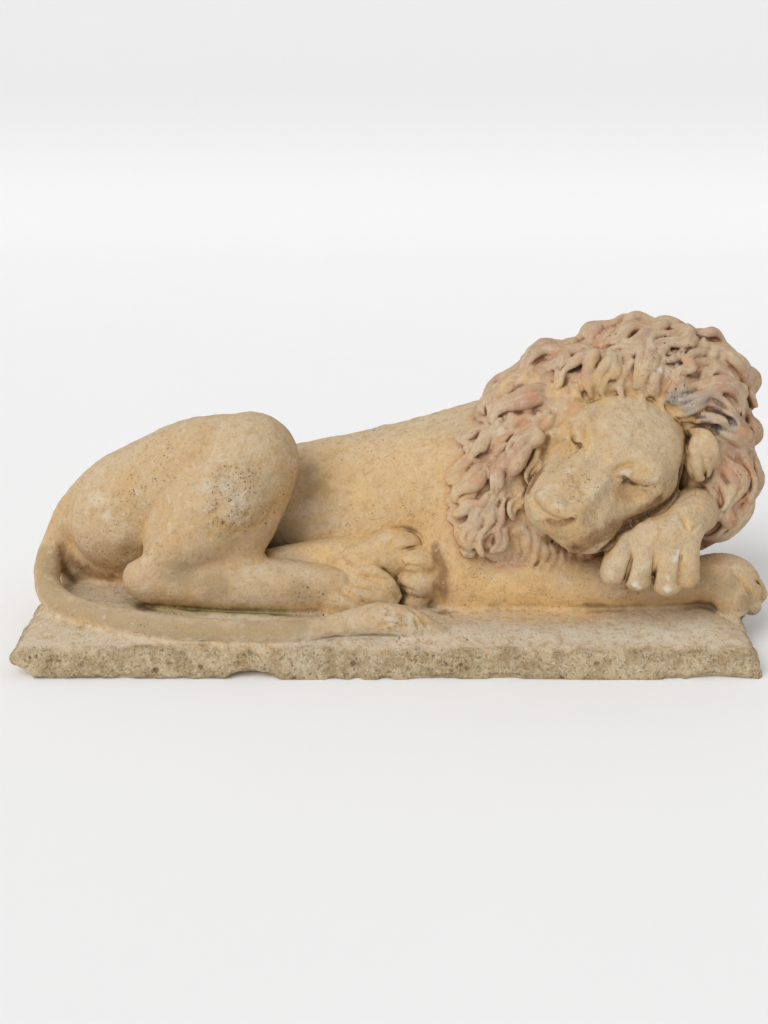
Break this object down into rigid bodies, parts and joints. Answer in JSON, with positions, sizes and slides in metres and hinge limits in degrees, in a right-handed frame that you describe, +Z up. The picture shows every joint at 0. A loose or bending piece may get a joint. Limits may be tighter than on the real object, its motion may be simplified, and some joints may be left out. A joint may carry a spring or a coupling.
{
  "type": "sleeping lion garden sculpture",
  "caption": "Recumbent sleeping lion cast in one with its slab plinth: full curly mane, cheek resting on a forepaw, hind legs folded and tail laid along the front.",
  "frame": {"origin": "centre of the slab plinth's flat underside", "axes": "+Z up, +X along the slab toward the head, -Y toward the side the face and the folded hind legs are turned to"},
  "size_m": [0.8433, 0.3315, 0.3512],
  "materials": {
    "cast_stone": "weathered cast stone, matt, warm buff with a pink tone in the mane and a coarse pitted slab edge"
  },
  "bodies": {
    "root": {"sleeping_lion": "cast_stone"}
  },
  "joints": []
}
